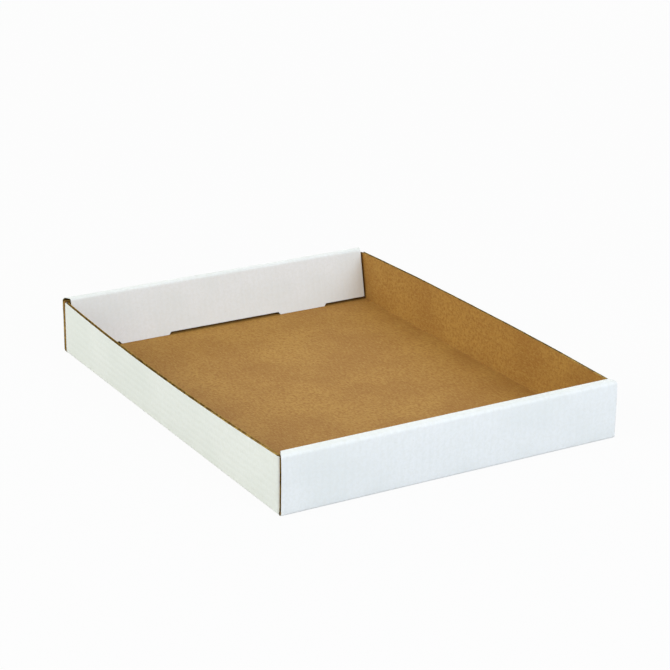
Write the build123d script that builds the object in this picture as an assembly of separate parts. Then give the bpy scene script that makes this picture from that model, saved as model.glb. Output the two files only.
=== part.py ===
from build123d import *
import math
import os

# Open tray folded from one die-cut sheet of white-faced corrugated board.
# Origin under the middle of the tray, X across it from side wall to side wall,
# Y along it from end wall to end wall, Z up. The end wall at -Y is called the front.
# The flutes run along Y in the flat sheet, so they stand upright in the end walls.

# The board
BOARD = 3.0            # thickness of the board
LINER = 0.4            # thickness of each facing paper
LAYER_GAP = 0.35       # air between two layers that lie against each other
SEAT_GAP = 0.2         # air under an edge that stands on the floor
CHANNEL_DEPTH = 2.0    # how far an open flute is hollow behind a cut edge
SIDE_FOLD = 1.8        # outside radius of the folds that run along the flutes
END_FOLD = 2.4         # outside radius of the folds that run across the flutes
CREASE_INSIDE = 0.3    # radius that is left inside a tight fold

# The floor and the side walls
WIDTH = 318.4          # over the faces of the side walls, at the floor
LENGTH = 417.5         # over the faces of the end walls, at the floor
SIDE_HEIGHT = 48.8     # side walls, from the underside to their cut top edge
SIDE_BOW = 5.2         # how far a side wall's top edge leans out at the middle of the tray
BOW_STATIONS = 7       # sections through a bowed side wall
HEEL_PAST = 0.6        # how far the fold under a side wall runs on past its back flap's fold

# The dust flaps, tucked into the end walls
CORNER_FOLD = 3.5      # outside radius of the upright fold from a side wall to its flap
FLAP_LENGTH = 132.0    # from the side wall's face to the flap's free edge
FLAP_FOOT = 1.3        # air under the flap's lower edge
FOLD_DROP = 1.0        # how far the upright fold's top lies below the side wall's top
FLAP_STEP = 5.2        # how far the flap's upper edge falls close beside its fold
FLAP_SLOPE = 1.6       # how far it falls from there to the free edge
FLAP_SNIP = 7.0        # cut-off corners at the free edge

# The end walls, each rolled over its dust flaps
EDGE_INSET = 0.5       # raw edge of an end wall behind the side wall's face
INNER_PLAY = 2.0       # air between the inner panel's side edge and the side wall
INNER_CREASE = 2.4     # outside radius of the crease from a roll down to its inner panel
BULGE_DEPTH = 15.4     # from the top of a roll down to where its outer panel bends
BULGE_RADIUS = 40.0    # how gently the outer panel bends there
FRONT_AIR = 0.6        # air under the front roll, which is pressed flat
FRONT_BULGE = 0.7      # how far the front wall stands out at the bend
FRONT_LEAN = 0.3       # how far the front roll's outer corner overhangs the fold
FRONT_CREASE = 3.4     # outside radius of the front roll's outer crease
BACK_AIR = 1.4         # air under the back roll, which has sprung open
BACK_BULGE = 0.3       # how far the back wall stands out at the bend
BACK_LEAN = 2.6        # how far the back roll's outer corner overhangs the fold
BACK_CREASE = 4.4      # outside radius of the back roll's outer crease, not pressed tight
BACK_HOLLOW = 4.6      # air across the back roll, between its two panels
BACK_SPREAD = 7.7      # how much further in the sprung panel's foot stands than a locked one

# The locking tabs under the inner panels, and their slots in the floor
TAB_DROP = 2.6         # length of a tab below the panel's edge
TAB_ROOT = 52.8        # width of a tab where it leaves the panel
TAB_TIP = 49.2         # width of a tab at its tip
TAB_SPACING = 168.0    # from the middle of one tab to the middle of the other
TAB_ROUNDING = 0.9     # radius of a tab's corners
SLOT_PLAY = 0.4        # air all round a tab in its slot

# Places that several pieces share
half_width = WIDTH / 2
half_length = LENGTH / 2
raw_half = half_width - EDGE_INSET
panel_half = half_width - BOARD - INNER_PLAY
flap_face = half_length - BOARD - LAYER_GAP
fold_start = flap_face - CORNER_FOLD
flap_low = BOARD + FLAP_FOOT
fold_high = SIDE_HEIGHT - FOLD_DROP
locked_stack = 3 * BOARD + 2 * LAYER_GAP
heel_end = fold_start + HEEL_PAST
clear = 4 * BOARD      # enough to run a cutting shape past what it cuts


def across(y):
    """Plane of a section across the tray: its own axes are X and Z, its normal -Y."""
    return Plane(origin=(0, y, 0), x_dir=(1, 0, 0), z_dir=(0, -1, 0))


def moved_left(points, distance):
    """An open polygon, offset to the left of its direction of travel."""
    vectors = [Vector(*point) for point in points]
    steps = [(b - a).normalized() for a, b in zip(vectors, vectors[1:])]
    normals = [Vector(-step.Y, step.X) for step in steps]
    moved = [vectors[0] + normals[0] * distance]
    for corner, before, after in zip(vectors[1:], normals, normals[1:]):
        moved.append(corner + (before + after) * (distance / (1 + before.dot(after))))
    moved.append(vectors[-1] + normals[-1] * distance)
    return moved


def folded_strip(points, radii, near=0.0, far=BOARD):
    """Section of a board along a path: the path is its white face, seen edge on.

    radii are the white face's fold radii; near and far are depths below that face."""
    faces = []
    for depth in (near, far):
        shrunk = [max(radius - depth, CREASE_INSIDE) for radius in radii]
        faces.append(FilletPolyline(*moved_left(points, depth), radius=shrunk))
    ends = [Line(faces[0] @ end, faces[1] @ end) for end in (0, 1)]
    return make_face([edge for line in faces + ends for edge in line.edges()])


def side_path(y):
    """White face of the right side wall in a section across the tray."""
    lean = SIDE_BOW * (1 - (y / fold_start) ** 2)
    top = math.sqrt(SIDE_HEIGHT ** 2 - lean ** 2)
    return [Vector(half_width - clear, 0), Vector(half_width, 0), Vector(half_width + lean, top)]


def side_section(y):
    return across(y) * folded_strip(side_path(y), [SIDE_FOLD])


def side_channel(y):
    """The open flute between the two facings at the side wall's cut top edge."""
    fold, top = side_path(y)[1:]
    up = (top - fold).normalized() * CHANNEL_DEPTH
    faces = [moved_left([top - up, top + up], depth) for depth in (LINER, BOARD - LINER)]
    return across(y) * make_face(Polyline(*faces[0], *reversed(faces[1]), close=True))


def side_wall():
    """Right side wall, bowed between its two upright folds, with its part of the floor."""
    gaps = BOW_STATIONS - 1
    stations = [fold_start * (2 * i / gaps - 1) for i in range(BOW_STATIONS)]
    wall = loft([side_section(y) for y in stations]) - loft([side_channel(y) for y in stations])
    # below the flaps the fold runs on, in front as far as the end wall
    heel = extrude(side_section(heel_end), amount=heel_end + flap_face, dir=(0, -1, 0))
    heel -= Pos(half_width, 0, flap_low) * Box(clear * 4, 2 * fold_start, SIDE_HEIGHT * 4)
    heel -= Pos(half_width, 0, flap_low + SIDE_HEIGHT) * Box(clear * 4, LENGTH, SIDE_HEIGHT * 2)
    return wall + heel


def dust_flap():
    """Flap that turns in from the right side wall, behind the back end wall."""
    bend_x = half_width - CORNER_FOLD
    free_x = half_width - FLAP_LENGTH
    step_high = fold_high - FLAP_STEP
    free_high = step_high - FLAP_SLOPE
    ring = Circle(CORNER_FOLD) - Circle(max(CORNER_FOLD - BOARD, CREASE_INSIDE))
    ring &= Rectangle(CORNER_FOLD, CORNER_FOLD, align=(Align.MIN, Align.MIN))
    fold = extrude(Pos(bend_x, fold_start, flap_low) * ring, amount=fold_high - flap_low)
    outline = Polyline(
        (bend_x, flap_low),
        (free_x + FLAP_SNIP, flap_low),
        (free_x, flap_low + FLAP_SNIP),
        (free_x, free_high - FLAP_SNIP),
        (free_x + FLAP_SNIP, free_high),
        (panel_half + LAYER_GAP, step_high),
        (bend_x, fold_high),
        close=True,
    )
    return fold + extrude(across(flap_face) * make_face(outline), amount=BOARD)


def made_wide(section):
    """A section along the tray, made as wide as the end walls."""
    return extrude(Plane.YZ * section, amount=raw_half, both=True)


def roll_plan(outer_y, inner_y, margin=0.0):
    """Block with the roll's plan outline, which narrows from outer panel to inner panel."""
    points = [
        (raw_half - margin, outer_y + clear),
        (raw_half - margin, outer_y - BOARD / 2),
        (panel_half - margin, inner_y + BOARD / 2),
        (panel_half - margin, inner_y - clear),
    ]
    mirrored = [(-x, y) for x, y in reversed(points)]
    outline = make_face(Polyline(*points, *mirrored, close=True))
    return extrude(outline, amount=SIDE_HEIGHT + clear)


def panel_outline(edge):
    """Inner panel with its two locking tabs, hanging from the line where its roll ends."""
    corners = [(-panel_half, 0)]
    radii = []
    for side in (-1, 1):
        centre = side * TAB_SPACING / 2
        tab = [
            (centre - TAB_ROOT / 2, -edge),
            (centre - TAB_TIP / 2, -edge - TAB_DROP),
            (centre + TAB_TIP / 2, -edge - TAB_DROP),
            (centre + TAB_ROOT / 2, -edge),
        ]
        if side < 0:
            tab.insert(0, (-panel_half, -edge))
        else:
            tab.append((panel_half, -edge))
        corners += tab
        radii += [0 if abs(x) == panel_half else TAB_ROUNDING for x, _ in tab]
    corners.append((panel_half, 0))
    path = FilletPolyline(*corners, radius=radii)
    return make_face(path.edges() + Line(corners[-1], corners[0]).edges())


def crease_length(radius, turn):
    """From a crease's corner to where both faces of the board are straight again."""
    return max(radius, BOARD + CREASE_INSIDE) * math.tan(turn / 2) + LINER


def end_wall(air, bulge, lean, crease, roll_width, foot, locked):
    """Back end wall as one strip of board: up from the floor, over, and down inside.

    air is the room over the dust flaps, lean and foot say where the roll's outer corner
    and the inner panel's foot stand from the fold, and crease is the radius of its
    outer crease. It returns strip and inner panel."""
    top = fold_high + air + BOARD
    outer_corner = Vector(half_length + lean, top)
    inner_corner = Vector(half_length + lean - roll_width, top)
    bend = Vector(half_length + bulge, top - BULGE_DEPTH)
    foot_point = Vector(half_length - foot, 0 if locked else BOARD)

    # the roll's two creases end where their rounding runs out
    rise = (outer_corner - bend).normalized()
    down = (foot_point - inner_corner).normalized()
    outer_turn = math.pi / 2 + math.asin(rise.X)
    inner_turn = math.pi / 2 + math.asin(down.X)
    outer_seam = outer_corner - rise * crease_length(crease, outer_turn)
    inner_seam = inner_corner + down * crease_length(INNER_CREASE, inner_turn)

    upright = [Vector(half_length - clear, 0), Vector(half_length, 0), bend, outer_seam]
    upright_radii = [END_FOLD, BULGE_RADIUS]
    upright_core = made_wide(folded_strip(upright, upright_radii, LINER, BOARD - LINER))
    upright_core -= Box(2 * (raw_half - CHANNEL_DEPTH), 2 * LENGTH, 4 * top)
    upright_core -= Box(WIDTH, 2 * flap_face, 4 * top)
    strip = made_wide(folded_strip(upright, upright_radii)) - upright_core

    over = [outer_seam, outer_corner, inner_corner, inner_seam]
    over_radii = [crease, INNER_CREASE]
    over_core = made_wide(folded_strip(over, over_radii, LINER, BOARD - LINER))
    over_core -= roll_plan(outer_corner.X, inner_corner.X, CHANNEL_DEPTH)
    roll = made_wide(folded_strip(over, over_radii)) & roll_plan(outer_corner.X, inner_corner.X)
    strip += roll - over_core

    # the panel's own plane: its y runs up the panel, its normal looks into the tray
    panel_plane = Plane((0, inner_seam.X, inner_seam.Y), x_dir=(1, 0, 0), z_dir=(0, down.Y, -down.X))
    reach = (foot_point - inner_seam).length
    edge = reach - BOARD - SEAT_GAP if locked else reach - SEAT_GAP - TAB_DROP
    panel = extrude(panel_plane * panel_outline(edge), amount=-BOARD)
    channel = Box(2 * CHANNEL_DEPTH, 4 * edge, BOARD - 2 * LINER)
    for side in (-1, 1):
        panel -= panel_plane * Pos(side * panel_half, 0, -BOARD / 2) * channel
    if not locked:
        # the sprung panel's tabs are crushed level where they stand on the floor
        panel -= Pos(0, half_length, 0) * Box(WIDTH, 4 * foot, 2 * (BOARD + SEAT_GAP))
    return strip, panel


def floor_slots():
    """Slots for the locking tabs, a locked panel's distance from both end folds."""
    middle = half_length - locked_stack + BOARD / 2
    slot = Box(TAB_ROOT + 2 * SLOT_PLAY, BOARD + 2 * SLOT_PLAY, 4 * BOARD)
    places = [(x * TAB_SPACING / 2, y * middle) for x in (-1, 1) for y in (-1, 1)]
    return Part() + [Pos(x, y, 0) * slot for x, y in places]


def tray():
    """The whole folded sheet as one solid."""
    sheet = Pos(0, 0, BOARD / 2) * Box(WIDTH - 2 * SIDE_FOLD, LENGTH - clear, BOARD)
    right = side_wall()
    flap = dust_flap()
    right += [flap, mirror(flap, about=Plane.XZ)]
    sheet += [right, mirror(right, about=Plane.YZ)]

    back, back_panel = end_wall(
        BACK_AIR, BACK_BULGE, BACK_LEAN, BACK_CREASE,
        2 * BOARD + BACK_HOLLOW, locked_stack + BACK_SPREAD, False
    )
    front, front_panel = end_wall(
        FRONT_AIR, FRONT_BULGE, FRONT_LEAN, FRONT_CREASE,
        locked_stack + FRONT_LEAN, locked_stack, True
    )
    sheet += [back, mirror(front, about=Plane.XZ)]
    sheet -= floor_slots()
    sheet += [back_panel, mirror(front_panel, about=Plane.XZ)]
    # the two end walls differ a little, so the middle of the whole is set last
    return Pos(0, -sheet.bounding_box().center().Y, 0) * sheet


os.makedirs("parts", exist_ok=True)
export_step(tray(), "parts/tray.step")
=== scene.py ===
"""Looks of an open tray folded from one sheet of white-faced corrugated board.

The sheet is drawn panel by panel from the same sizes as the solid part. It is white outside,
brown inside, and hollow behind its cut edges, where the fluted paper of its core shows."""

import math

import bpy
import numpy as np
from mathutils import Matrix, Vector
from mathutils.kdtree import KDTree


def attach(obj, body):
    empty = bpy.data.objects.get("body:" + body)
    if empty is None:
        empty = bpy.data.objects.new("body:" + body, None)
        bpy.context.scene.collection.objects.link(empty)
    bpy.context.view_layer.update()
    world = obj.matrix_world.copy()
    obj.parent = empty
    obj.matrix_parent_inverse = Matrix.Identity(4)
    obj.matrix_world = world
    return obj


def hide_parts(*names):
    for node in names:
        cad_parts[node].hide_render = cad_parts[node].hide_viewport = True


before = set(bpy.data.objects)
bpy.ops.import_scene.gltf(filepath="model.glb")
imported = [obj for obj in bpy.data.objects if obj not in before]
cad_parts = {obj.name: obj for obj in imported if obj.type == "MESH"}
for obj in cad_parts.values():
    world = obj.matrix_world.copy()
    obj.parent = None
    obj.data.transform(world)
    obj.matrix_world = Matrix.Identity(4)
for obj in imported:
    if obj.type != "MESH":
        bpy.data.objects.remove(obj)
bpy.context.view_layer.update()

MM = 0.001             # a millimetre, in metres

# The board, in millimetres like all sizes here
BOARD = 3.0            # thickness of the board
LINER = 0.35           # thickness of each facing paper
FLUTE_PITCH = 6.5      # from one flute to the next
CORE_PAPER = 0.22      # thickness of the fluted paper
LAYER_GAP = 0.35       # air between two layers that lie against each other
SEAT_GAP = 0.2         # air under an edge that stands on the floor
SIDE_FOLD = 1.8        # outside radius of the folds that run along the flutes
END_FOLD = 2.4         # outside radius of the folds that run across the flutes
CORNER_FOLD = 3.5      # outside radius of the upright folds at the corners
CREASE_INSIDE = 0.3    # radius that is left inside a tight fold

# How far a cut edge is hollow between its two facings
HOLLOW = 5.0           # where the board is sound
ROLL_HOLLOW = 9.0      # at the sides of the back roll, too deep for any core to show
CRUSHED = 1.0          # where a fold has crushed the core
EDGE_HOLLOW = 2.4      # at a side wall's top edge, from its middle to its back end
PRESSED = 0.35         # at the front end of that edge, which is pressed nearly shut

# Wear
UNEVEN = 0.3           # how far the folded board is out of true
WORN_REACH = 1.0       # how far from a cut edge its facings are worn

# Floor, side walls and dust flaps
WIDTH = 318.4          # over the faces of the side walls, at the floor
LENGTH = 417.5         # over the faces of the end walls, at the floor
SIDE_HEIGHT = 48.8     # side walls, from the underside to their cut top edge
SIDE_BOW = 5.2         # how far a side wall's top edge leans out at the middle of the tray
SIDE_MARGIN = 4.0      # from a side wall's face in to where the floor ends and its fold begins
HEEL_PAST = 0.6        # how far the fold under a side wall runs on into its back upright fold
FLAP_LENGTH = 132.0    # from the side wall's face to the flap's free edge
FLAP_FOOT = 1.3        # air under the flap's lower edge
FOLD_DROP = 1.0        # how far the upright fold's top lies below the side wall's top
FRONT_FOLD_DROP = 0.1  # how far it does on the side wall's half of the two front folds
FLAP_STEP = 5.2        # how far the flap's upper edge falls close beside its fold
FLAP_SLOPE = 1.6       # how far it falls from there to the free edge
FLAP_SNIP = 7.0        # cut-off corners at the free edge

# End walls
EDGE_INSET = 0.5       # raw edge of an end wall behind the side wall's face
INNER_PLAY = 2.0       # air between the inner panel's side edge and the side wall
INNER_CREASE = 2.4     # outside radius of the crease from a roll down to its inner panel
BULGE_DEPTH = 15.4     # from the top of a roll down to where its outer panel bends
BULGE_RADIUS = 40.0    # how gently the outer panel bends there
CRUSHED_HIGH = 3.2     # how high the core is crushed by the fold under the front wall

# Each end wall: air over the dust flaps, how far the wall stands out at its bend and leans out
# at the top, its outer crease's radius, air across the roll, how much further in the foot stands
FRONT = {
    "air": 0.6, "bulge": 0.7, "lean": 0.3, "crease": 3.4, "hollow": 0.0, "spread": 0.0,
    "locked": True,
}
BACK = {
    "air": 1.4, "bulge": 0.3, "lean": 2.6, "crease": 4.4, "hollow": 4.6, "spread": 7.7,
    "locked": False,
}

# Tabs and slots
TAB_DROP = 2.6         # length of a tab below the panel's edge
TAB_ROOT = 52.8        # width of a tab where it leaves the panel
TAB_TIP = 49.2         # width of a tab at its tip
TAB_SOFT = 0.5         # how far its rounded corners reach past its slanting sides
TAB_SPACING = 168.0    # from the middle of one tab to the middle of the other
SLOT_PLAY = 0.4        # air all round a tab in its slot

# How closely the sheet is divided into points
RUN_STEP = 8.0         # up the straight runs of an end wall
WHOLE_RUN = 400.0      # a step that leaves a run in one piece
FOLD_STEP = 11         # degrees, round a fold
COLUMN_STEP = 4.0      # across the floor and the end walls
COLUMN_CLOSEST = 0.12  # a column nearer than this to another is left out
FLOOR_ROWS = 41        # rows of the floor from its front slots to its back slots
SIDE_COLUMNS = 73      # columns of a side wall from one upright fold to the other
HEEL_COLUMNS = (2.9, 1.9, 0.9)  # how far past the front folds more columns round the heel
CROSS_STEP = 0.55      # along a cut that crosses the flutes
ALONG_STEP = 0.9       # along a cut that runs with them
SEAM = 0.02            # width of a row or column where the outline takes a step
NEAR = 0.001           # two places no further apart than this are one
SHEET_SHARP = 32       # degrees of bend from which an edge of the sheet shows as sharp
CORE_SHARP = 50        # degrees from which one of the fluted paper does

# Places that several panels share
half_width = WIDTH / 2
half_length = LENGTH / 2
raw_half = half_width - EDGE_INSET
floor_half = half_width - SIDE_MARGIN
panel_half = half_width - BOARD - INNER_PLAY
flap_face = half_length - BOARD - LAYER_GAP
fold_start = flap_face - CORNER_FOLD
flap_low = BOARD + FLAP_FOOT
fold_high = SIDE_HEIGHT - FOLD_DROP
locked_stack = 3 * BOARD + 2 * LAYER_GAP
heel_end = fold_start + HEEL_PAST
front_heel = flap_face - SEAM
slot_middle = half_length - locked_stack + BOARD / 2
slot_half = BOARD / 2 + SLOT_PLAY


def unit(vectors):
    """Vectors of length 1 with the same directions."""
    return vectors / np.linalg.norm(vectors, axis=-1, keepdims=True)


def left_of(step):
    """A step in the plane, turned left by a quarter."""
    return np.array([-step[1], step[0]])


def folded_path(corners, radii, step):
    """Matching points of the white and the brown face along a folded board, seen edge on.

    Each run between two folds is a list of (white, brown) points, and so is each fold."""
    corners = [np.array(c, float) for c in corners]
    steps = [unit(b - a) for a, b in zip(corners, corners[1:])]
    spans = []
    before = [corners[0], corners[0] + left_of(steps[0]) * BOARD]
    for k, radius in enumerate(radii):
        a, b = steps[k], steps[k + 1]
        turn = math.atan2(a[0] * b[1] - a[1] * b[0], a @ b)
        mitre = (left_of(a) + left_of(b)) / (1 + left_of(a) @ left_of(b))
        arcs = []
        for depth in (0.0, BOARD):
            r = max(radius - depth, CREASE_INSIDE)
            corner = corners[k + 1] + mitre * depth
            start = corner - a * r * math.tan(abs(turn) / 2)
            side = left_of(a) * math.copysign(1, turn)
            centre = start + side * r
            count = max(2, round(abs(turn) / math.radians(FOLD_STEP)))
            angles = np.linspace(0, turn, count + 1)
            spoke = start - centre
            arcs.append([
                centre + np.array([
                    spoke[0] * math.cos(t) - spoke[1] * math.sin(t),
                    spoke[0] * math.sin(t) + spoke[1] * math.cos(t),
                ])
                for t in angles
            ])
        spans.append(straight(before, [arcs[0][0], arcs[1][0]], step))
        spans.append(list(zip(*arcs)))
        before = [arcs[0][-1], arcs[1][-1]]
    spans.append(straight(before, [corners[-1], corners[-1] + left_of(steps[-1]) * BOARD], step))
    return spans


def flat_directions(middle, flat):
    """Where the blank's two directions point on the folded sheet, at each point of a grid."""
    moves = np.stack([np.gradient(middle, axis=k) for k in (0, 1)], 2)
    flat_moves = np.stack([np.gradient(flat, axis=k) for k in (0, 1)], 2)
    turned = np.linalg.solve(flat_moves + np.eye(2) * 1e-9, moves)
    return turned / np.maximum(np.linalg.norm(turned, axis=-1, keepdims=True), 1e-9)


def straight(start, end, step):
    """Matching points of both faces along a straight run, no further apart than step."""
    count = max(1, math.ceil(np.linalg.norm(end[0] - start[0]) / step))
    return [
        (start[0] + (end[0] - start[0]) * t, start[1] + (end[1] - start[1]) * t)
        for t in np.linspace(0, 1, count + 1)
    ]


def chain(spans):
    """Spans one after another, without the points that neighbours share."""
    points = list(spans[0])
    for span in spans[1:]:
        points += span[1:]
    return points


# What a row of a cut line holds: a point on the white face, the way from there to the brown
# face, the way in, the place and the way in on the blank, and how deep the cut is hollow
POINT, ACROSS, INWARD = slice(0, 3), slice(3, 6), slice(6, 9)
PLACE, FLAT_INWARD, ROOM = slice(9, 11), slice(11, 13), 13


class Sheet:
    """Collects the panels of the folded sheet, and the lines along which it was cut."""

    def __init__(self):
        self.points = []
        self.faces = []
        self.finishes = []
        self.flat = []
        self.cut_lines = []

    def add_points(self, points, flat):
        first = len(self.points)
        self.points += [tuple(p) for p in points]
        self.flat += [tuple(f) for f in flat]
        return np.arange(first, first + len(points))

    def add_face(self, corners, finish):
        self.faces.append(tuple(int(c) for c in corners))
        self.finishes.append(finish)

    def panel(self, white, brown, flat, room, missing=None):
        """A grid of board. white and brown are its two faces, flat is its place in the blank.

        room is how deep a cut may be hollow there, 0 where it runs on into a neighbour.
        missing marks its holes."""
        rows, columns = white.shape[:2]
        there = np.ones((rows - 1, columns - 1), bool)
        if missing is not None:
            there &= ~missing
        directions = flat_directions((white + brown) / 2, flat)
        plane = flat.reshape(-1, 2)
        on_white = self.add_points(white.reshape(-1, 3), plane).reshape(rows, columns)
        on_brown = self.add_points(brown.reshape(-1, 3), plane).reshape(rows, columns)
        rim = {}
        for i, j in zip(*np.nonzero(there)):
            ring = [(i, j), (i + 1, j), (i + 1, j + 1), (i, j + 1)]
            self.add_face([on_white[p] for p in ring], WHITE_FACE)
            self.add_face([on_brown[p] for p in reversed(ring)], BROWN_FACE)
            beyond = [(i, j - 1), (i + 1, j), (i, j + 1), (i - 1, j)]
            for k, (ni, nj) in enumerate(beyond):
                inside = 0 <= ni < rows - 1 and 0 <= nj < columns - 1 and there[ni, nj]
                if not inside:
                    rim[ring[k]] = ring[(k + 1) % 4]
        while rim:
            start, following = next(iter(rim.items()))
            loop = [start]
            del rim[start]
            while following != start:
                loop.append(following)
                following = rim.pop(following)
            self.cut_edge(loop, on_white, on_brown, flat, directions, room)

    def cut_edge(self, loop, on_white, on_brown, flat, directions, room):
        """Closes the rim between the two faces, hollow between the facing papers."""
        white_ids = np.array([on_white[p] for p in loop])
        brown_ids = np.array([on_brown[p] for p in loop])
        white = np.array([self.points[i] for i in white_ids])
        brown = np.array([self.points[i] for i in brown_ids])
        plane = np.array([flat[p] for p in loop])
        reach = np.array([room[p] for p in loop])
        ahead = np.roll(plane, -1, 0) - plane
        level = np.abs(ahead[:, 0]) > np.abs(ahead[:, 1])
        flat_inward = np.where(
            level[:, None],
            np.stack([np.zeros(len(loop)), -np.sign(ahead[:, 0])], 1),
            np.stack([np.sign(ahead[:, 1]), np.zeros(len(loop))], 1),
        )
        flat_inward = flat_inward + np.roll(flat_inward, 1, 0)
        flat_inward /= np.maximum(np.linalg.norm(flat_inward, axis=1, keepdims=True), 1e-6)
        turned = np.array([directions[p] for p in loop])
        inward = (flat_inward[:, :, None] * turned).sum(1)

        paper = LINER / BOARD
        rails = [white_ids]
        for across, depth in ((paper, 0), (paper, 1), (1 - paper, 1), (1 - paper, 0)):
            moved = white + (brown - white) * across + inward * (reach * depth)[:, None]
            rails.append(self.add_points(moved, plane))
        rails.append(brown_ids)
        finishes = [WHITE_FACE, INSIDE_EDGE, INSIDE_EDGE, INSIDE_EDGE, PAPER_EDGE]
        after = np.roll(np.arange(len(loop)), -1)
        for near, far, finish in zip(rails, rails[1:], finishes):
            for k, m in enumerate(after):
                self.add_face([near[m], near[k], far[k], far[m]], finish)
        self.note_cuts(white, brown, inward, plane, flat_inward, reach)

    def note_cuts(self, white, brown, inward, plane, flat_inward, reach):
        """Keeps the open stretches of a rim, for the fluted paper that shows there.

        A stretch is held back where it runs on into a neighbour or is too deep to show any."""
        count = len(white)
        held = (reach == 0) | (reach > HOLLOW)
        starts = [k for k in range(count) if held[k - 1] and not held[k]] or [0]
        for start in starts:
            run = []
            for k in range(count + 1):
                m = (start + k) % count
                if held[m] or (k == count and held.any()):
                    break
                run.append(m)
            if len(run) < 2:
                continue
            run = np.array(run)
            line = np.hstack([
                white[run], (brown - white)[run], inward[run], plane[run], flat_inward[run],
                reach[run, None] / HOLLOW,
            ])
            self.cut_lines.append(line)


WHITE_FACE, BROWN_FACE, PAPER_EDGE, INSIDE_EDGE = range(4)
sheet = Sheet()


def end_corners(end):
    """Corners of an end wall's white face, from its fold at the floor to the panel's foot."""
    top = fold_high + end["air"] + BOARD
    outer = half_length + end["lean"]
    width = locked_stack + end["lean"] if end["locked"] else 2 * BOARD + end["hollow"]
    foot = half_length - locked_stack - end["spread"]
    corners = [
        (half_length, 0.0),
        (half_length + end["bulge"], top - BULGE_DEPTH),
        (outer, top),
        (outer - width, top),
        (foot, 0.0 if end["locked"] else BOARD),
    ]
    return corners, [END_FOLD, BULGE_RADIUS, end["crease"], INNER_CREASE]


def tab_shape(x):
    """0 beside a locking tab, 1 on it, with rounded corners between."""
    from_middle = np.abs(np.abs(x) - TAB_SPACING / 2)
    slant = (TAB_ROOT - TAB_TIP) / 2 + 2 * TAB_SOFT
    t = np.clip((TAB_ROOT / 2 + TAB_SOFT - from_middle) / slant, 0, 1)
    return t * t * (3 - 2 * t)


def end_columns():
    """Places across the sheet, close together beside the tabs and near the cut sides."""
    tab_inner = TAB_SPACING / 2 - TAB_ROOT / 2
    tab_outer = TAB_SPACING / 2 + TAB_ROOT / 2
    kept = [0.0, tab_inner - SLOT_PLAY, tab_outer + SLOT_PLAY]
    kept += [floor_half, floor_half - 0.7, floor_half - 2]
    beside, under, count = 1.0, 3.0, 17
    loose = list(np.arange(COLUMN_STEP, floor_half - 3, COLUMN_STEP))
    loose += list(np.linspace(tab_inner - beside, tab_inner + under, count))
    loose += list(np.linspace(tab_outer - under, tab_outer + beside, count))
    for x in loose:
        if min(abs(x - k) for k in kept) > COLUMN_CLOSEST:
            kept.append(x)
    half = np.array(sorted(kept))
    return np.concatenate([-half[:0:-1], half])


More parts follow.
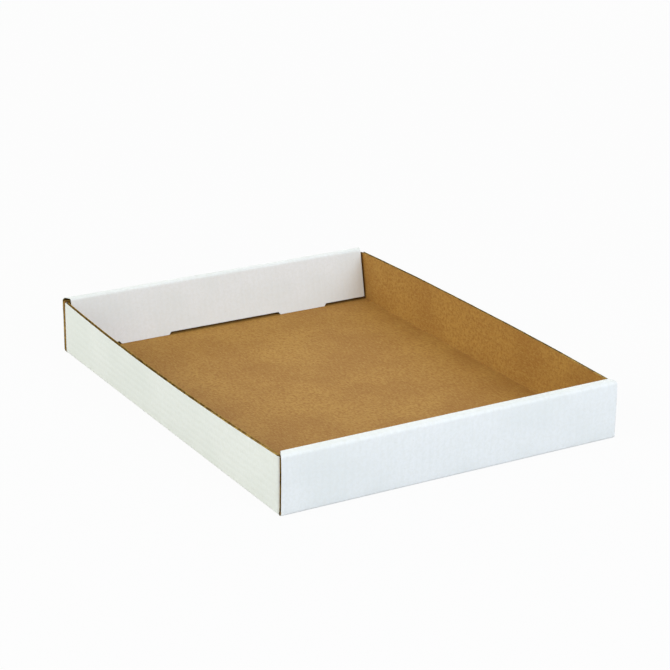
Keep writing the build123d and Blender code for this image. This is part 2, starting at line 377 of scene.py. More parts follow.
def long_strip():
    """The floor and both end walls, in one run from the front tabs to the back tabs."""
    columns = end_columns()
    side = np.sign(columns)
    size = np.abs(columns)
    steady = 130.0
    share = np.clip((size - steady) / (floor_half - steady), 0, None)

    def spread(half):
        """The columns, moved out past the steady ones so that the last lies at this half width."""
        return np.where(size <= steady, columns, side * (steady + share * (half - steady)))

    rows_white, rows_brown, rows_along, rows_room = [], [], [], []
    along = 0.0
    halves = {}
    for end, sign in ((FRONT, -1), (BACK, 1)):
        corners, radii = end_corners(end)
        # the path starts on the floor, only to give the first fold its direction
        on_floor = (half_length - 10, 0.0)
        spans = folded_path([on_floor] + corners, radii, RUN_STEP)
        upright = chain(spans[1:5])
        roll = chain(spans[5:8])
        wall = [(w, b, raw_half) for w, b in upright[:-1]]
        outer_y, inner_y = corners[2][0], corners[3][0]
        for w, b in roll:
            # the roll narrows from the outer panel's width to the inner panel's
            inwards = outer_y - BOARD / 2 - (w[0] + b[0]) / 2
            t = np.clip(inwards / (outer_y - inner_y - BOARD), 0, 1)
            wall.append((w, b, raw_half + (panel_half - raw_half) * t))
        white_seam, brown_seam = spans[8][0]
        foot = np.array(corners[4])
        down = unit(foot - white_seam)
        edge = np.linalg.norm(foot - white_seam) - SEAT_GAP
        edge -= BOARD if end["locked"] else TAB_DROP
        halves[sign] = (wall, white_seam, brown_seam, down, edge)

    def add_row(y_white, z_white, y_brown, z_brown, half, length, room):
        x = spread(half)
        full = np.ones_like(x)
        rows_white.append(np.stack([x, y_white * full, z_white * full], 1))
        rows_brown.append(np.stack([x, y_brown * full, z_brown * full], 1))
        rows_along.append(length * full)
        rows_room.append(np.where(size > floor_half - NEAR, room, HOLLOW))

    def panel_rows(sign, end):
        """Rows of an inner panel, from its crease down to its tabs, and each row's way along."""
        _, white_seam, brown_seam, down, edge = halves[sign]
        x = spread(panel_half)
        reach = edge + TAB_DROP * tab_shape(columns)
        white_foot = white_seam + down * reach[:, None]
        brown_foot = white_foot + left_of(down) * BOARD
        found = []
        shares = [0.02, 0.12, 0.3, 0.5, 0.7, 0.86, 0.94, 0.98, 1.0]
        for t in shares:
            w = white_seam + (white_foot - white_seam) * t
            b = brown_seam + (brown_foot - brown_seam) * t
            if not end["locked"]:
                # the sprung panel's tabs are crushed level where they stand on the floor
                b[:, 1] = np.maximum(b[:, 1], BOARD + SEAT_GAP)
            found.append((
                np.stack([x, sign * w[:, 0], w[:, 1]], 1),
                np.stack([x, sign * b[:, 0], b[:, 1]], 1),
                reach * t,
            ))
        return found

    front_wall = halves[-1][0]
    for w, b, length in reversed(panel_rows(-1, FRONT)):
        rows_white.append(w)
        rows_brown.append(b)
        rows_along.append(-length)
        rows_room.append(np.full(len(columns), HOLLOW))
    last = None
    for w, b, half in reversed(front_wall):
        if last is not None:
            along += np.linalg.norm((w + b) / 2 - last)
        last = (w + b) / 2
        add_row(-w[0], w[1], -b[0], b[1], half, along, HOLLOW if w[1] > CRUSHED_HIGH else CRUSHED)

    slot_edges = [slot_middle - slot_half, slot_middle + slot_half]
    front_y = [-flap_face, -front_heel] + [-y for y in slot_edges[::-1]]
    back_y = slot_edges + [heel_end, heel_end + SEAM, flap_face]
    floor_y = front_y + list(np.linspace(-slot_edges[0], slot_edges[0], FLOOR_ROWS)[1:-1]) + back_y
    last = np.array([-last[0], last[1]])
    for y in floor_y:
        here = np.array([y, BOARD / 2])
        along += np.linalg.norm(here - last)
        last = here
        beside_heels = -front_heel - NEAR < y < heel_end + NEAR
        half = floor_half if beside_heels else raw_half
        add_row(y, 0.0, y, BOARD, half, along, CRUSHED if y > heel_end + 2 * SEAM else 0.0)
    for w, b, half in halves[1][0]:
        here = (w + b) / 2
        along += np.linalg.norm(here - last)
        last = here
        add_row(w[0], w[1], b[0], b[1], half, along, ROLL_HOLLOW if w[1] > fold_high else CRUSHED)
    for w, b, length in panel_rows(1, BACK):
        rows_white.append(w)
        rows_brown.append(b)
        rows_along.append(along + length)
        rows_room.append(np.full(len(columns), HOLLOW))

    white = np.array(rows_white)
    brown = np.array(rows_brown)
    flat = np.stack([white[:, :, 0], np.array(rows_along)], 2)
    y = white[:, :, 1]
    flat_floor = (white[:, :, 2] < NEAR) & (brown[:, :, 2] < BOARD + NEAR)
    in_slot_y = np.abs(np.abs(y) - slot_middle) < slot_half + NEAR
    in_slot_x = np.abs(np.abs(white[:, :, 0]) - TAB_SPACING / 2) < TAB_ROOT / 2 + SLOT_PLAY + NEAR
    in_slot = flat_floor & in_slot_y & in_slot_x
    missing = in_slot[:-1, :-1] & in_slot[1:, :-1] & in_slot[:-1, 1:] & in_slot[1:, 1:]
    sheet.panel(white, brown, flat, np.array(rows_room), missing)


def side_lean(y):
    """How far a side wall's top edge leans out at y, towards an even bow."""
    return SIDE_BOW * (1 - np.minimum((y / fold_start) ** 2, 1.0))


def side_wall(hand):
    """Side wall with its fold, bowed outwards between its two upright folds.

    Below its flaps the fold runs on as a low heel, in front as far as the end wall, where it is
    rounded over like the upright fold above it."""
    rounded = [-front_heel] + [-fold_start - past for past in HEEL_COLUMNS]
    between_folds = list(np.linspace(-fold_start, fold_start, SIDE_COLUMNS))
    seams = -fold_start - SEAM, fold_start + SEAM
    stations = np.array(rounded + [seams[0]] + between_folds + [seams[1], heel_end])
    shares = (0.2, 0.35, 0.5, 0.65, 0.8, 0.92, 0.965, 1.0)
    whites, browns = [], []
    for y in stations:
        lean = side_lean(y)
        top = math.sqrt(SIDE_HEIGHT ** 2 - lean ** 2)
        section = [(floor_half, 0), (half_width, 0), (half_width + lean, top)]
        spans = folded_path(section, [SIDE_FOLD], WHOLE_RUN)
        fold = chain(spans[:2])
        low_white, low_brown = spans[2][0]
        rise_white, rise_brown = spans[2][-1][0] - low_white, spans[2][-1][1] - low_brown
        heel_white = (flap_low - low_white[1]) / rise_white[1]
        heel_brown = (flap_low - low_brown[1]) / rise_brown[1]
        wall = [(low_white + rise_white * heel_white, low_brown + rise_brown * heel_brown)]
        wall += [(low_white + rise_white * t, low_brown + rise_brown * t) for t in shares]
        path = fold + wall
        past = max(-y - fold_start, 0.0)
        reach = half_width - CORNER_FOLD + math.sqrt(CORNER_FOLD ** 2 - past ** 2)
        whites.append([(min(p[0], reach + lean), p[1]) for p, _ in path])
        browns.append([(min(p[0], reach + lean - LINER), p[1]) for _, p in path])
    heel_row = len(fold)
    white = np.array(whites).transpose(1, 0, 2)
    brown = np.array(browns).transpose(1, 0, 2)
    middle = (white + brown) / 2
    length = np.linalg.norm(np.diff(middle, axis=0), axis=2)
    flat_u = floor_half + np.vstack([np.zeros(len(stations)), np.cumsum(length, 0)])
    y = np.broadcast_to(stations, flat_u.shape)

    def placed(face):
        return np.stack([hand * face[:, :, 0], y, face[:, :, 1]], 2)

    white, brown = placed(white), placed(brown)
    flat = np.stack([hand * flat_u, y], 2)
    room = np.full(flat_u.shape, HOLLOW)
    room[0] = 0
    room[:-1, np.abs(stations) > fold_start - NEAR] = 0
    room[heel_row, 1 : len(rounded)] = room[heel_row, -2] = CRUSHED
    room[-1] = np.interp(stations, [-fold_start, 0], [PRESSED, EDGE_HOLLOW])
    # past the upright folds there is only the heel
    missing = np.zeros((flat_u.shape[0] - 1, len(stations) - 1), bool)
    missing[heel_row:, : len(rounded) + 1] = True
    missing[heel_row:, -2:] = True
    if hand > 0:
        white, brown, flat = white[:, ::-1], brown[:, ::-1], flat[:, ::-1]
        room, missing = room[:, ::-1], missing[:, ::-1]
    sheet.panel(white, brown, flat, room, missing)


def dust_flap(hand, sign):
    """Flap from the end of a side wall, folded in behind the end wall."""
    step_high = fold_high - FLAP_STEP
    free_high = step_high - FLAP_SLOPE
    free_x = half_width - FLAP_LENGTH
    plan = [(half_width, 0), (half_width, flap_face), (free_x, flap_face)]
    bend = folded_path(plan, [CORNER_FOLD], WHOLE_RUN)[1]
    stops = [panel_half + LAYER_GAP, panel_half - 4, 130, 100, 70, 45]
    stops += [free_x + FLAP_SNIP, free_x + 2.5, free_x]
    run = [(np.array([x, flap_face]), np.array([x, flap_face - BOARD])) for x in stops]
    points = list(bend) + run
    white_line = np.array([w for w, _ in points])
    brown_line = np.array([b for _, b in points])
    x = white_line[:, 0]
    slope = (step_high - free_high) / (panel_half + LAYER_GAP - free_x - FLAP_SNIP)
    high = np.where(
        x > panel_half + LAYER_GAP + NEAR,
        fold_high,
        step_high - slope * (panel_half + LAYER_GAP - x),
    )
    if sign < 0:
        high[: len(bend) // 2 + 1] = SIDE_HEIGHT - FRONT_FOLD_DROP
    snip = np.clip(free_x + FLAP_SNIP - x, 0, None)
    high = high - snip
    low = flap_low + snip
    shares = np.array([0, 0.03, 0.2, 0.4, 0.6, 0.8, 0.97, 1.0])
    z = low[:, None] + (high - low)[:, None] * shares

    def placed(line):
        x_there, y_there = (np.broadcast_to(line[:, [k]], z.shape) for k in (0, 1))
        return np.stack([hand * x_there, sign * y_there, z], 2)

    moves = np.diff((white_line + brown_line) / 2, axis=0)
    length = np.concatenate([[0], np.cumsum(np.linalg.norm(moves, axis=1))])
    flat = np.stack([
        hand * (half_width + z), sign * (fold_start + np.broadcast_to(length[:, None], z.shape))
    ], 2)
    white, brown = placed(white_line), placed(brown_line)
    room = np.full(z.shape, HOLLOW)
    room[0] = 0
    room[: len(bend) + 1, -1] = CRUSHED if sign < 0 else HOLLOW
    room[[0, 1, len(bend) - 1, len(bend)], -1] = CRUSHED
    if hand * sign < 0:
        white, brown, flat, room = white[:, ::-1], brown[:, ::-1], flat[:, ::-1], room[:, ::-1]
    sheet.panel(white, brown, flat, room)


def make_mesh(name, points, faces):
    """A new object with this mesh, in the scene."""
    mesh = bpy.data.meshes.new(name)
    mesh.from_pydata([tuple(p) for p in points], [], faces)
    mesh.update()
    thing = bpy.data.objects.new(name, mesh)
    bpy.context.scene.collection.objects.link(thing)
    return thing


long_strip()
for hand in (-1, 1):
    side_wall(hand)
    for sign in (-1, 1):
        dust_flap(hand, sign)


# Faint waves in the folded board: turn in radians to a millimetre, strength and start of each
WAVES_ALONG = ((0.031, 1.0, 1.1), (0.083, 0.7, 2.3), (0.21, 0.4, 0.4))
WAVES_ACROSS = ((0.037, 1.0, 0.6), (0.091, 0.7, 1.9), (0.19, 0.4, 2.8))
STILL = 50.0           # nearer the middle than this the board is drawn in less and less


def waving(place, waves):
    """The waves' height at a place, from 0 to 1."""
    strongest = sum(strength for _, strength, _ in waves)
    height = sum(strength * np.sin(turn * place + start) for turn, strength, start in waves)
    return (height + strongest) / (2 * strongest)


def settled(points):
    """Draws points in a little, unevenly, as folded board never lies quite straight."""
    x, y, z = points.T
    along, over = waving(y, WAVES_ALONG), waving(x, WAVES_ACROSS)
    drawn = UNEVEN * z / SIDE_HEIGHT
    return np.stack([
        x - np.sign(x) * np.minimum(np.abs(x) / STILL, 1) * drawn * along,
        y - np.sign(y) * np.minimum(np.abs(y) / STILL, 1) * drawn * over,
        z - drawn * (along + over) / 2,
    ], 1)


# the two end walls differ a little, so the middle of the whole is set last
points = np.array(sheet.points)
middle_y = (points[:, 1].min() + points[:, 1].max()) / 2
points[:, 1] -= middle_y
tray = make_mesh("tray_sheet", settled(points) * MM, sheet.faces)
blank = tray.data.uv_layers.new(name="blank")
corners = np.empty(len(tray.data.loops), int)
tray.data.loops.foreach_get("vertex_index", corners)
blank.data.foreach_set("uv", (np.array(sheet.flat) * MM)[corners].ravel())


def near_folds(mesh):
    """1 where a face of the board bends over a fold and 0 where it is flat."""
    normals = np.empty((len(mesh.polygons), 3))
    mesh.polygons.foreach_get("normal", normals.ravel())
    finish = np.array(sheet.finishes)
    bend = np.zeros(len(mesh.vertices))
    for kind in (WHITE_FACE, BROWN_FACE):
        summed = np.zeros((len(mesh.vertices), 3))
        members = [(k, v) for k in np.nonzero(finish == kind)[0] for v in sheet.faces[k]]
        face_ids, point_ids = np.array(members).T
        np.add.at(summed, point_ids, normals[face_ids])
        summed /= np.maximum(np.linalg.norm(summed, axis=1, keepdims=True), 1e-9)
        tilt = np.degrees(np.arccos(np.clip((summed[point_ids] * normals[face_ids]).sum(1), -1, 1)))
        np.maximum.at(bend, point_ids, tilt)
    flat_turn, folded_turn = 1.5, 5.5
    return np.clip((bend - flat_turn) / (folded_turn - flat_turn), 0, 1)


def near_cuts():
    """1 on a cut edge of the sheet and 0 a little way in."""
    places = np.vstack([line[:, PLACE] for line in fine_cuts])
    tree = KDTree(len(places))
    for k, (u, v) in enumerate(places):
        tree.insert((u, v, 0), k)
    tree.balance()
    distance = np.array([tree.find((u, v, 0))[2] for u, v in sheet.flat])
    return np.clip(1 - distance / WORN_REACH, 0, 1)


def closely_divided(line):
    """Divides a cut so that it follows each flute that it crosses."""
    rows = [line[:1]]
    for a, b in zip(line, line[1:]):
        move = b[PLACE] - a[PLACE]
        length = np.linalg.norm(move)
        crosses = abs(move[0]) > length / 2
        count = max(1, math.ceil(length / (CROSS_STEP if crosses else ALONG_STEP)))
        rows.append(a + (b - a) * np.linspace(0, 1, count + 1)[1:, None])
    return np.vstack(rows)


fine_cuts = [closely_divided(line) for line in sheet.cut_lines]
for name, values in (("fold", near_folds(tray.data)), ("cut", near_cuts())):
    layer = tray.data.attributes.new(name, "FLOAT", "POINT")
    layer.data.foreach_set("value", values)

FLOOR_REACH = 6.0      # metres of studio floor on each side of the tray
floor_points = [
    (side * FLOOR_REACH, end * FLOOR_REACH, 0) for side, end in ((-1, -1), (1, -1), (1, 1), (-1, 1))
]
stage_floor = make_mesh("studio_floor", floor_points, [(0, 1, 2, 3)])


def put(tree, kind, inputs=None, **settings):
    """Adds a node to a tree. An input is a value, or another node's output to link."""
    node = tree.nodes.new(kind)
    for name, value in settings.items():
        setattr(node, name, value)
    for name, value in (inputs or {}).items():
        if isinstance(value, bpy.types.NodeSocket):
            tree.links.new(value, node.inputs[name])
        else:
            node.inputs[name].default_value = value
    return node


def maths(tree, operation, *values):
    """One sum on numbers or sockets."""
    node = put(tree, "ShaderNodeMath", dict(enumerate(values)), operation=operation)
    return node.outputs[0]


def times(tree, first, second):
    """One number or socket times another."""
    return maths(tree, "MULTIPLY", first, second)


def scaled(tree, vector, scale):
    """A vector times a plain number or a scale for each axis."""
    if isinstance(scale, tuple):
        node = put(tree, "ShaderNodeVectorMath", {0: vector, 1: scale}, operation="MULTIPLY")
    else:
        node = put(tree, "ShaderNodeVectorMath", {0: vector, "Scale": scale}, operation="SCALE")
    return node.outputs[0]


def colour(red, green, blue):
    """A colour as written for a screen, from 0 to 255, as the shaders take it."""
    made = []
    for value in (red / 255, green / 255, blue / 255):
        made.append(value / 12.92 if value <= 0.04045 else ((value + 0.055) / 1.055) ** 2.4)
    return (*made, 1.0)


def new_material(name):
    """A new material, with its node tree and its main shader."""
    material = bpy.data.materials.new(name)
    material.use_nodes = True
    tree = material.node_tree
    return material, tree, tree.nodes["Principled BSDF"]


# Sizes of what shows in the papers, in metres
CLOUDS = 0.055         # broad clouds in a facing's tone
MOTTLES = 0.0026       # its mottled surface
FIBRES = 0.0007        # breadth of its fibres, which lie along the flutes
FLECKS = 0.0011        # breadth of stray dark fibres, which lie across them
SCUFFS = 0.004         # spots of wear at cuts, and of dents and painted shade at folds
FLUTE_DRIFT = 0.2      # how gently the flutes run out of line
STAINS = 0.005         # darker patches of raw paper
GRAIN = 0.0009         # its bare grain


def blotches(tree, vector, size, detail=3.0, roughness=0.55, seed=0.0):
    """Soft uneven patches of about this size in metres, from 0 to 1."""
    node = put(tree, "ShaderNodeTexNoise", {
        "Vector": vector, "W": seed, "Scale": 1 / size, "Detail": detail, "Roughness": roughness,
    }, noise_dimensions="4D")
    return node.outputs["Fac"]


def between(tree, value, low, high):
    """0 up to low, 1 from high on, and a soft rise between."""
    node = put(tree, "ShaderNodeMapRange", {
        "Value": value, "From Min": low, "From Max": high, "To Min": 0.0, "To Max": 1.0,
    }, interpolation_type="SMOOTHSTEP")
    return node.outputs["Result"]


def mixed(tree, share, first, second):
    """Two colours in a share from 0, all the first, to 1, all the second."""
    node = put(tree, "ShaderNodeMix", {0: share, 6: first, 7: second}, data_type="RGBA")
    return node.outputs[2]


def flute_wave(tree, blank_place):
    """Where a facing paper dips between the flutes under it, from 0 on a flute to 1."""
    across = put(tree, "ShaderNodeSeparateXYZ", {0: blank_place}).outputs["X"]
    drift = blotches(tree, blank_place, FLUTE_DRIFT, detail=0.0, seed=4.0)
    turns = times(tree, across, math.tau / (FLUTE_PITCH * MM))
    wave = maths(tree, "SINE", maths(tree, "ADD", turns, drift))
    narrowed = 1.5
    return maths(tree, "POWER", maths(tree, "MULTIPLY_ADD", wave, 0.5, 0.5), narrowed)


def facing_paper(
    name, main, shade, fibre, pulp, fleck, mottling, dip_shade, dip_shade_share, relief, wear_and_fold_shade, roughness, gloss
):
    """A facing paper: clouded, fibrous and flecked, washboarded by the flutes with painted shade in
    the dips between them, with wear at its cut edges and painted shade at its folds.

    mottling says how strongly its fibres show, the dip tint how strongly painted shade darkens the
    dips between the flutes, and relief how deep they are, in millimetres."""
    material, tree, shader = new_material(name)
    place = put(tree, "ShaderNodeUVMap", uv_map="blank").outputs["UV"]
    solid_place = put(tree, "ShaderNodeTexCoord").outputs["Object"]
    clouds = blotches(tree, place, CLOUDS, detail=2.0, seed=1.0)
    mottle = blotches(tree, place, MOTTLES, detail=4.0, roughness=0.6, seed=2.0)
    long_fibres = scaled(tree, place, (1.0, 0.16, 1.0))
    fibres = blotches(tree, long_fibres, FIBRES, detail=3.0, roughness=0.7, seed=3.0)
    long_flecks = scaled(tree, place, (0.3, 1.0, 1.0))
    stray = blotches(tree, long_flecks, FLECKS, detail=2.0, roughness=0.6, seed=6.0)
    dips = flute_wave(tree, place)

    tone = mixed(tree, between(tree, clouds, 0.34, 0.66), main, shade)
    mottles = times(tree, between(tree, mottle, 0.38, 0.64), 0.8 * mottling)
    tone = mixed(tree, mottles, tone, fibre)
    fibre_lines = times(tree, between(tree, fibres, 0.45, 0.7), 0.6 * mottling)
    tone = mixed(tree, fibre_lines, tone, pulp)
    # painted shade: the dips between the flutes are darkened in colour, on top of the shading that
    # their bump gives
    tone = mixed(tree, times(tree, dips, dip_shade_share), tone, dip_shade)
    specks = times(tree, between(tree, stray, 0.69, 0.76), 0.55)
    tone = mixed(tree, specks, tone, fleck)
    fold = put(tree, "ShaderNodeAttribute", attribute_name="fold").outputs["Fac"]
    cut = put(tree, "ShaderNodeAttribute", attribute_name="cut").outputs["Fac"]
    spots = blotches(tree, solid_place, SCUFFS, detail=5.0, roughness=0.7, seed=5.0)
    scuffs = between(tree, spots, 0.47, 0.7)
    # wear at the cut edges, and at the folds a faint painted shade in the same colour
    cut_wear_and_fold_shade = maths(tree, "MAXIMUM", times(tree, fold, 0.16), maths(tree, "POWER", cut, 2.0))
    tone = mixed(tree, times(tree, cut_wear_and_fold_shade, scuffs), tone, wear_and_fold_shade)
    tree.links.new(tone, shader.inputs["Base Color"])

    grain = times(tree, maths(tree, "ADD", fibres, mottle), 0.018 * mottling)
    height = maths(tree, "MULTIPLY_ADD", dips, -relief, grain)
    height = maths(tree, "SUBTRACT", height, times(tree, times(tree, fold, scuffs), 0.05))
    bump = put(tree, "ShaderNodeBump", {"Height": height, "Distance": MM, "Strength": 1.0})
    tree.links.new(bump.outputs["Normal"], shader.inputs["Normal"])
    sheen = maths(tree, "MULTIPLY_ADD", mottle, 0.12, roughness - 0.06)
    tree.links.new(sheen, shader.inputs["Roughness"])
    shader.inputs["Specular IOR Level"].default_value = gloss
    return material


def raw_paper(name, light, dark, roughness=0.8):
    """Cut or inner paper: bare fibre, uneven, with crushed dark spots."""
    material, tree, shader = new_material(name)
    place = put(tree, "ShaderNodeTexCoord").outputs["Object"]
    patches = blotches(tree, place, STAINS, detail=3.0, seed=8.0)
    grain = blotches(tree, place, GRAIN, detail=4.0, roughness=0.65, seed=9.0)
    tone = mixed(tree, between(tree, patches, 0.36, 0.64), light, dark)
    tone = mixed(tree, times(tree, between(tree, grain, 0.4, 0.68), 0.45), tone, dark)
    tree.links.new(tone, shader.inputs["Base Color"])
    bump = put(tree, "ShaderNodeBump", {
        "Height": times(tree, grain, 0.12), "Distance": MM, "Strength": 1.0,
    })
    tree.links.new(bump.outputs["Normal"], shader.inputs["Normal"])
    tree.links.new(maths(tree, "MULTIPLY_ADD", grain, 0.1, roughness), shader.inputs["Roughness"])
    shader.inputs["Specular IOR Level"].default_value = 0.2
    return material


# In both facings the dip colour is painted shade in the dips between the flutes, and the worn
# colour is wear at the cut edges and painted shade at the folds
white_liner = facing_paper(
    "white_liner", main=colour(234, 236, 234), shade=colour(228, 231, 228),
    fibre=colour(224, 225, 218), pulp=colour(222, 227, 227), fleck=colour(200, 197, 188),
    mottling=0.5, dip_shade=colour(205, 209, 208), dip_shade_share=0.05, relief=0.08,
    wear_and_fold_shade=colour(204, 196, 180), roughness=0.55, gloss=0.32,
)
brown_liner = facing_paper(
    "brown_liner", main=colour(179, 136, 67), shade=colour(162, 117, 55),
    fibre=colour(152, 104, 50), pulp=colour(190, 154, 82), fleck=colour(110, 75, 37),
    mottling=1.0, dip_shade=colour(162, 117, 55), dip_shade_share=0.16, relief=0.032,
    wear_and_fold_shade=colour(150, 110, 60), roughness=0.72, gloss=0.16,
)
paper_edge = raw_paper("paper_edge", colour(186, 154, 80), colour(124, 97, 40))
inside_paper = raw_paper("inside_paper", colour(162, 131, 58), colour(98, 73, 26))
core_paper = raw_paper("core_paper", colour(192, 158, 80), colour(122, 93, 36))
# in the order of the finishes above
for material in (white_liner, brown_liner, paper_edge, inside_paper):
    tray.data.materials.append(material)
tray.data.polygons.foreach_set("material_index", sheet.finishes)
tray.data.shade_smooth()
tray.data.set_sharp_from_angle(angle=math.radians(SHEET_SHARP))


def flute_tree():
    """Makes fluted paper behind a cut: each cut line is drawn inwards, waving from face to face."""
    tree = bpy.data.node_groups.new("fluted_core", "GeometryNodeTree")
    tree.interface.new_socket("Cut Lines", in_out="INPUT", socket_type="NodeSocketGeometry")
    for name, kind in (
        ("Depth", "Float"), ("Steps", "Int"), ("Pitch", "Float"), ("Swing", "Float"),
        ("Crush", "Float"), ("Crush Length", "Float"), ("Tear", "Float"), ("Set Back", "Float"),
        ("Seed", "Float"), ("Paper", "Material"),
    ):
        tree.interface.new_socket(name, in_out="INPUT", socket_type="NodeSocket" + kind)
    tree.interface.new_socket("Core", in_out="OUTPUT", socket_type="NodeSocketGeometry")
    entry = put(tree, "NodeGroupInput").outputs
    start = put(tree, "GeometryNodeStoreNamedAttribute", {
        "Geometry": entry["Cut Lines"], "Name": "cut_point",
        "Value": put(tree, "GeometryNodeInputPosition").outputs[0],
    }, data_type="FLOAT_VECTOR", domain="POINT").outputs["Geometry"]

    def stored(name, kind):
        """What a cut line's points hold under this name."""
        node = put(tree, "GeometryNodeInputNamedAttribute", {"Name": name}, data_type=kind)
        return node.outputs["Attribute"]

    def vector_sum(a, b):
        return put(tree, "ShaderNodeVectorMath", {0: a, 1: b}, operation="ADD").outputs[0]

    cut_point = stored("cut_point", "FLOAT_VECTOR")
    unevenness = put(tree, "ShaderNodeTexNoise", {
        "Vector": cut_point, "W": entry["Seed"], "Detail": 3.0,
        "Scale": maths(tree, "DIVIDE", 1.0, entry["Crush Length"]),
    }, noise_dimensions="4D").outputs["Fac"]
    centred = times(tree, maths(tree, "SUBTRACT", unevenness, 0.5), 2.0)

    def place_at(depth):
        """Where the paper lies this deep behind the cut: it waves across, and its edge is torn."""
        start_u = stored("blank_u", "FLOAT")
        blank_u = maths(tree, "MULTIPLY_ADD", stored("inward_u", "FLOAT"), depth, start_u)
        shifted = maths(tree, "MULTIPLY_ADD", centred, entry["Crush"], blank_u)
        turns = times(tree, maths(tree, "DIVIDE", shifted, entry["Pitch"]), math.tau)
        swing = times(tree, maths(tree, "SINE", turns), entry["Swing"])
        across = scaled(tree, stored("across", "FLOAT_VECTOR"), maths(tree, "ADD", swing, 0.5))
        along_flutes = maths(tree, "ABSOLUTE", stored("inward_u", "FLOAT"))
        set_back = times(tree, along_flutes, entry["Set Back"])
        outward = maths(tree, "MAXIMUM", centred, 0.0)
        torn = maths(tree, "MULTIPLY_ADD", outward, entry["Tear"], set_back)
        reach = times(tree, maths(tree, "MAXIMUM", depth, torn), stored("room", "FLOAT"))
        inward = scaled(tree, stored("inward", "FLOAT_VECTOR"), reach)
        return vector_sum(vector_sum(cut_point, across), inward)

    placed = put(tree, "GeometryNodeSetPosition", {"Geometry": start, "Position": place_at(0.0)})
    repeat_in = tree.nodes.new("GeometryNodeRepeatInput")
    repeat_out = tree.nodes.new("GeometryNodeRepeatOutput")
    repeat_in.pair_with_output(repeat_out)
    tree.links.new(entry["Steps"], repeat_in.inputs["Iterations"])
    tree.links.new(placed.outputs["Geometry"], repeat_in.inputs["Geometry"])
    front = stored("front", "BOOLEAN")
    drawn = put(tree, "GeometryNodeExtrudeMesh", {
        "Mesh": repeat_in.outputs["Geometry"], "Selection": front, "Offset Scale": 0.0,
    }, mode="EDGES")
    step_number = maths(tree, "ADD", repeat_in.outputs["Iteration"], 1.0)
    share = maths(tree, "DIVIDE", step_number, entry["Steps"])
    moved = put(tree, "GeometryNodeSetPosition", {
        "Geometry": drawn.outputs["Mesh"], "Selection": drawn.outputs["Top"],
        "Position": place_at(times(tree, share, entry["Depth"])),
    })
    marked = put(tree, "GeometryNodeStoreNamedAttribute", {
        "Geometry": moved.outputs["Geometry"], "Name": "front", "Value": drawn.outputs["Top"],
    }, data_type="BOOLEAN", domain="EDGE")
    tree.links.new(marked.outputs["Geometry"], repeat_out.inputs["Geometry"])
    real = put(tree, "GeometryNodeRealizeInstances", {"Geometry": repeat_out.outputs["Geometry"]})
    papered = put(tree, "GeometryNodeSetMaterial", {
        "Geometry": real.outputs["Geometry"], "Material": entry["Paper"],
    })
    put(tree, "NodeGroupOutput", {"Core": papered.outputs["Geometry"]})
    return tree


def fluted_core():
    """The fluted paper that shows at every cut edge of the sheet."""
    edges, count = [], 0
    for line in fine_cuts:
        edges += [(count + k, count + k + 1) for k in range(len(line) - 1)]
        count += len(line)
    rows = np.vstack(fine_cuts)
    mesh = bpy.data.meshes.new("cut_lines")
    base = rows[:, POINT] - np.array([0, middle_y, 0])
    mesh.from_pydata(settled(base) * MM, edges, [])
    for name, values in (("across", rows[:, ACROSS] * MM), ("inward", rows[:, INWARD])):
        layer = mesh.attributes.new(name, "FLOAT_VECTOR", "POINT")
        layer.data.foreach_set("vector", values.ravel())
    blank_u, inward_u = rows[:, PLACE][:, 0] * MM, rows[:, FLAT_INWARD][:, 0]
    for name, values in (("blank_u", blank_u), ("inward_u", inward_u), ("room", rows[:, ROOM])):
        layer = mesh.attributes.new(name, "FLOAT", "POINT")
        layer.data.foreach_set("value", np.ascontiguousarray(values))
    layer = mesh.attributes.new("front", "BOOLEAN", "EDGE")
    layer.data.foreach_set("value", [True] * len(edges))
    lines = bpy.data.objects.new("cut_lines", mesh)
    bpy.context.scene.collection.objects.link(lines)
    modifier = lines.modifiers.new("fluted_core", "NODES")
    modifier.node_group = flute_tree()
    sizes = {
        "Depth": HOLLOW * MM, "Steps": 8, "Pitch": FLUTE_PITCH * MM,
        "Swing": 0.5 - (LINER + CORE_PAPER / 2) / BOARD, "Crush": 0.003, "Crush Length": 0.0035,
        "Tear": 0.006, "Set Back": 0.0025, "Seed": 3.0, "Paper": core_paper,
    }
    for item in modifier.node_group.interface.items_tree:
        if item.name in sizes:
            modifier[item.identifier] = sizes[item.name]
    thickness = lines.modifiers.new("paper", "SOLIDIFY")
    thickness.thickness = CORE_PAPER * MM
    thickness.offset = 0
    bpy.context.view_layer.update()
    evaluated = lines.evaluated_get(bpy.context.evaluated_depsgraph_get())
    made = bpy.data.meshes.new_from_object(evaluated)
    bpy.data.objects.remove(lines)
    made.name = "fluted_core"
    for name in ("across", "inward", "blank_u", "inward_u", "room", "front", "cut_point"):
        if name in made.attributes:
            made.attributes.remove(made.attributes[name])
    made.shade_smooth()
    made.set_sharp_from_angle(angle=math.radians(CORE_SHARP))
    core = bpy.data.objects.new("fluted_core", made)
    bpy.context.scene.collection.objects.link(core)
    return core


core = fluted_core()


def seen_directly(tree):
    """1 for what the camera sees, also in gloss or through glass, and 0 for light on the object."""
    path = put(tree, "ShaderNodeLightPath").outputs
    seen = maths(tree, "ADD", path["Is Camera Ray"], path["Is Glossy Ray"])
    seen = maths(tree, "ADD", seen, path["Is Transmission Ray"])
    return maths(tree, "MINIMUM", seen, 1.0)


def pale_floor():
    """Pale floor that looks nearly white and keeps a soft shadow."""
    material, tree, shader = new_material("pale_floor")
    shader.inputs["Base Color"].default_value = (0.55, 0.55, 0.55, 1)
    shader.inputs["Roughness"].default_value = 0.9
    shader.inputs["Specular IOR Level"].default_value = 0.0
    glow = put(tree, "ShaderNodeEmission", {"Color": (1, 1, 1, 1), "Strength": 1.0})
    glow_share = 0.95
    share = times(tree, seen_directly(tree), glow_share)
    both = put(tree, "ShaderNodeMixShader", {
        0: share, 1: shader.outputs["BSDF"], 2: glow.outputs["Emission"],
    })
    tree.links.new(both.outputs["Shader"], tree.nodes["Material Output"].inputs["Surface"])
    return material


stage_floor.data.materials.append(pale_floor())

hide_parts("tray")
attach(tray, "root")
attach(core, "root")

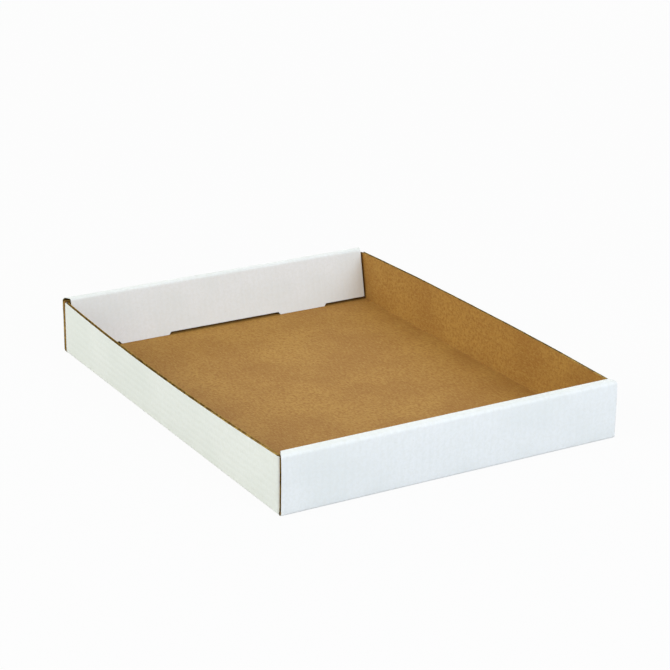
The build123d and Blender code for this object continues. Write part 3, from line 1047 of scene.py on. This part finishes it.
# Camera, at the height and angle of the photograph: lens in millimetres, the rest in metres
AZIMUTH, ELEVATION, ROLL = (math.radians(a) for a in (-30.57, 19.94, 0.49))
TARGET = Vector((0.04025, 0.0292, 0.040))
DISTANCE = 1.87058
SENSOR, LENS = 36.0, 112.32
SHIFT_X, SHIFT_Y = -0.0198, -0.0051
SIGHT = 50.0           # how far it sees
level = math.cos(ELEVATION)
back = Vector((math.sin(AZIMUTH) * level, -math.cos(AZIMUTH) * level, math.sin(ELEVATION)))
right = back.cross(Vector((0, 0, 1))).normalized() * -1
up = back.cross(right)
right, up = (
    right * math.cos(ROLL) + up * math.sin(ROLL),
    up * math.cos(ROLL) - right * math.sin(ROLL),
)
eye = TARGET + back * DISTANCE
camera_data = bpy.data.cameras.new("camera")
camera = bpy.data.objects.new("camera", camera_data)
bpy.context.scene.collection.objects.link(camera)
camera.matrix_world = Matrix((
    (right.x, up.x, back.x, eye.x),
    (right.y, up.y, back.y, eye.y),
    (right.z, up.z, back.z, eye.z),
    (0, 0, 0, 1),
))
camera_data.sensor_width = SENSOR
camera_data.lens = LENS
camera_data.shift_x = SHIFT_X
camera_data.shift_y = SHIFT_Y
camera_data.clip_end = SIGHT
bpy.context.scene.camera = camera

# White surroundings, half as bright on the tray as they look
WORLD_LIGHT = 0.5
world = bpy.data.worlds.new("studio")
bpy.context.scene.world = world
world.use_nodes = True
studio = world.node_tree
strength = maths(studio, "MULTIPLY_ADD", seen_directly(studio), 1.0 - WORLD_LIGHT, WORLD_LIGHT)
studio.nodes["Background"].inputs["Color"].default_value = (1, 1, 1, 1)
studio.links.new(strength, studio.nodes["Background"].inputs["Strength"])


LAMP_SIZE = 1.8        # metres


def lamp(name, place, power, tint):
    """A soft square panel that faces the middle of the tray."""
    data = bpy.data.lights.new(name, "AREA")
    data.shape = "SQUARE"
    data.size = LAMP_SIZE
    data.energy = power
    data.color = tint
    panel = bpy.data.objects.new(name, data)
    facing = (Vector(place) - TARGET).to_track_quat("Z", "Y").to_matrix().to_4x4()
    panel.matrix_world = Matrix.Translation(place) @ facing
    bpy.context.scene.collection.objects.link(panel)


lamp("front_panel", (0.7, -2.4, 1.4), 52.5, (0.8, 0.868, 1.0))
lamp("left_panel", (-2.3, 0.1, 1.4), 41.0, (0.965, 1.0, 0.885))
lamp("back_panel", (1.5, 2.2, 0.9), 18.0, (0.96, 0.98, 1.0))
bpy.context.scene.view_settings.view_transform = "Standard"
